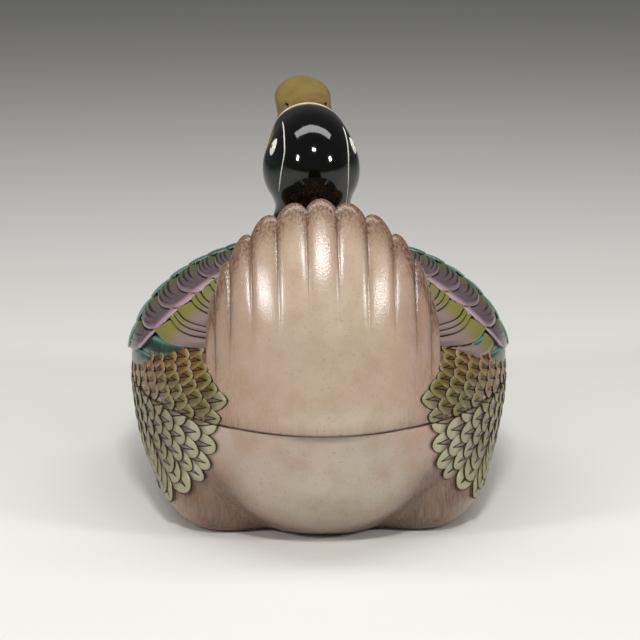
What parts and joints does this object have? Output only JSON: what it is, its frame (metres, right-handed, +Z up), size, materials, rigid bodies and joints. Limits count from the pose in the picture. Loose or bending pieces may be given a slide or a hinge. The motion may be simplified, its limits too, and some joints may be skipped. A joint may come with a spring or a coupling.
{
  "type": "duck tureen",
  "caption": "Covered serving dish shaped as a resting duck: an oval bowl with a lid that lifts off, with moulded wings, a fluted tail fan, and a raised head and bill.",
  "frame": {"origin": "on the table, under the middle of the whole dish", "axes": "+Z up, +Y towards the duck's bill, +X towards the duck's right wing"},
  "size_m": [0.2352, 0.3154, 0.2292],
  "materials": {
    "body_glaze": "pinkish beige glaze with a fine orange peel, gloss",
    "wing_glaze": "overglaze colours: teal, mauve and yellow-green with dark outlines, gloss",
    "head_glaze": "near-black green glaze, high gloss",
    "bill_glaze": "olive-yellow glaze, gloss",
    "eye_glaze": "white glaze, high gloss",
    "bare_clay": "unglazed fired clay, matt"
  },
  "bodies": {
    "bowl": {"bowl": "body_glaze"},
    "lid": {"lid_shell": "body_glaze", "lid_flange": "bare_clay", "tail_fan": "body_glaze", "left_wing": "wing_glaze", "right_wing": "wing_glaze", "head_and_neck": "head_glaze", "upper_bill": "bill_glaze", "lower_bill": "bill_glaze", "left_eye": "eye_glaze", "right_eye": "eye_glaze"}
  },
  "joints": [
    {"name": "lid_lift", "type": "slide", "parent": "bowl", "child": "lid", "axis": [0, 0, 1], "range_m": [0, 0.15]}
  ]
}
